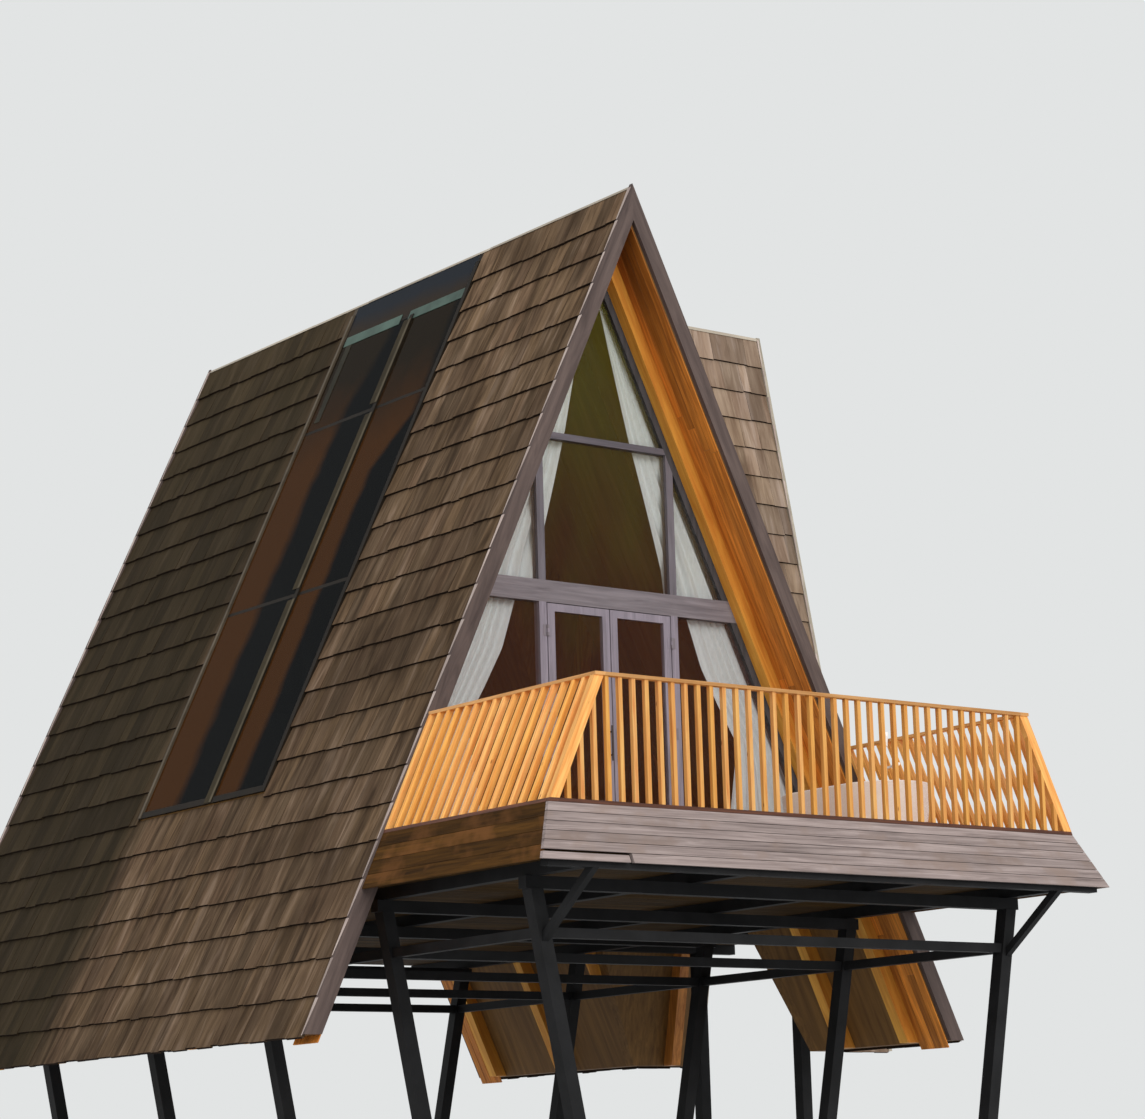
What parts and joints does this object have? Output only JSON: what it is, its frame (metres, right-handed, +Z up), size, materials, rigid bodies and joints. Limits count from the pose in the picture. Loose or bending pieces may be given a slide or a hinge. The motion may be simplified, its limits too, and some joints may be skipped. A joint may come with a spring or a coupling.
{
  "type": "a-frame cabin",
  "caption": "Timber A-frame cabin on leaning steel posts, with a glazed gable, French doors, a cross wing, a skylight strip and a railed front deck with a soaking tub.",
  "frame": {"origin": "middle of the bounding box, on the ground under the base plates", "axes": "+Z up, +Y from the glazed front gable towards the back gable, +X towards the cross wing"},
  "size_m": [8.0708, 10.1576, 9.4436],
  "materials": {
    "shingle": "weathered timber shingles",
    "ridge_trim": "light beige folded cap",
    "dark_trim": "dark grey brown painted board",
    "edge_trim": "light weathered edge board",
    "cedar": "oiled orange timber",
    "rail_timber": "oiled yellow orange timber",
    "weathered_board": "grey weathered boards",
    "frame_paint": "grey lavender stained timber",
    "dark_steel": "matt black paint",
    "skylight_metal": "grey coated flashing",
    "clear_glass": "clear float glass",
    "hardware": "satin",
    "curtain_cloth": "soft woven voile",
    "tub_white": "smooth white",
    "filler_white": "gloss white"
  },
  "bodies": {
    "cabin": {"back_barge_left": "dark_trim", "back_barge_right": "dark_trim", "back_frame": "frame_paint", "back_glass": "clear_glass", "cabin_floor": "cedar", "deck_floor": "rail_timber", "deck_tub": "tub_white", "fascia_front": "weathered_board", "fascia_left": "weathered_board", "fascia_right": "weathered_board", "floor_joists": "cedar", "front_barge_left": "dark_trim", "front_barge_right": "dark_trim", "front_glass": "clear_glass", "front_jamb_left": "frame_paint", "front_jamb_right": "frame_paint", "front_mullions": "frame_paint", "front_sill": "frame_paint", "front_transom": "frame_paint", "front_upper_bar": "frame_paint", "hinge_pins": "hardware", "lower_curtains": "curtain_cloth", "post_bracing": "dark_steel", "rafters_left": "cedar", "rafters_right": "cedar", "rail_front": "rail_timber", "rail_left": "rail_timber", "rail_right": "rail_timber", "ridge_cap": "ridge_trim", "rim_boards": "weathered_board", "roof_left": "shingle", "roof_right_back": "shingle", "roof_right_front": "shingle", "skylight_frame": "skylight_metal", "skylight_glass": "clear_glass", "steel_cross_beams": "dark_steel", "steel_long_beams": "dark_steel", "steel_posts": "dark_steel", "tub_filler": "filler_white", "underfloor_boards": "cedar", "upper_curtains": "curtain_cloth", "wing_barge_back": "edge_trim", "wing_barge_front": "edge_trim", "wing_floor": "cedar", "wing_frame": "frame_paint", "wing_glass": "clear_glass", "wing_rafters": "cedar", "wing_ridge_cap": "ridge_trim", "wing_roof_back": "shingle", "wing_roof_front": "shingle"},
    "left_leaf": {"door_left": "frame_paint", "door_glass_left": "clear_glass", "door_handle_left": "hardware"},
    "right_leaf": {"door_right": "frame_paint", "door_glass_right": "clear_glass", "door_handle_right": "hardware"}
  },
  "joints": [
    {"name": "left_door_hinge", "type": "hinge", "parent": "cabin", "child": "left_leaf", "pos_m": [-1.09461, -2.05322, 4.44], "axis": [0, 0, -1], "range_deg": [0, 95]},
    {"name": "right_door_hinge", "type": "hinge", "parent": "cabin", "child": "right_leaf", "pos_m": [0.32539, -2.05322, 4.44], "axis": [0, 0, 1], "range_deg": [0, 95]}
  ]
}
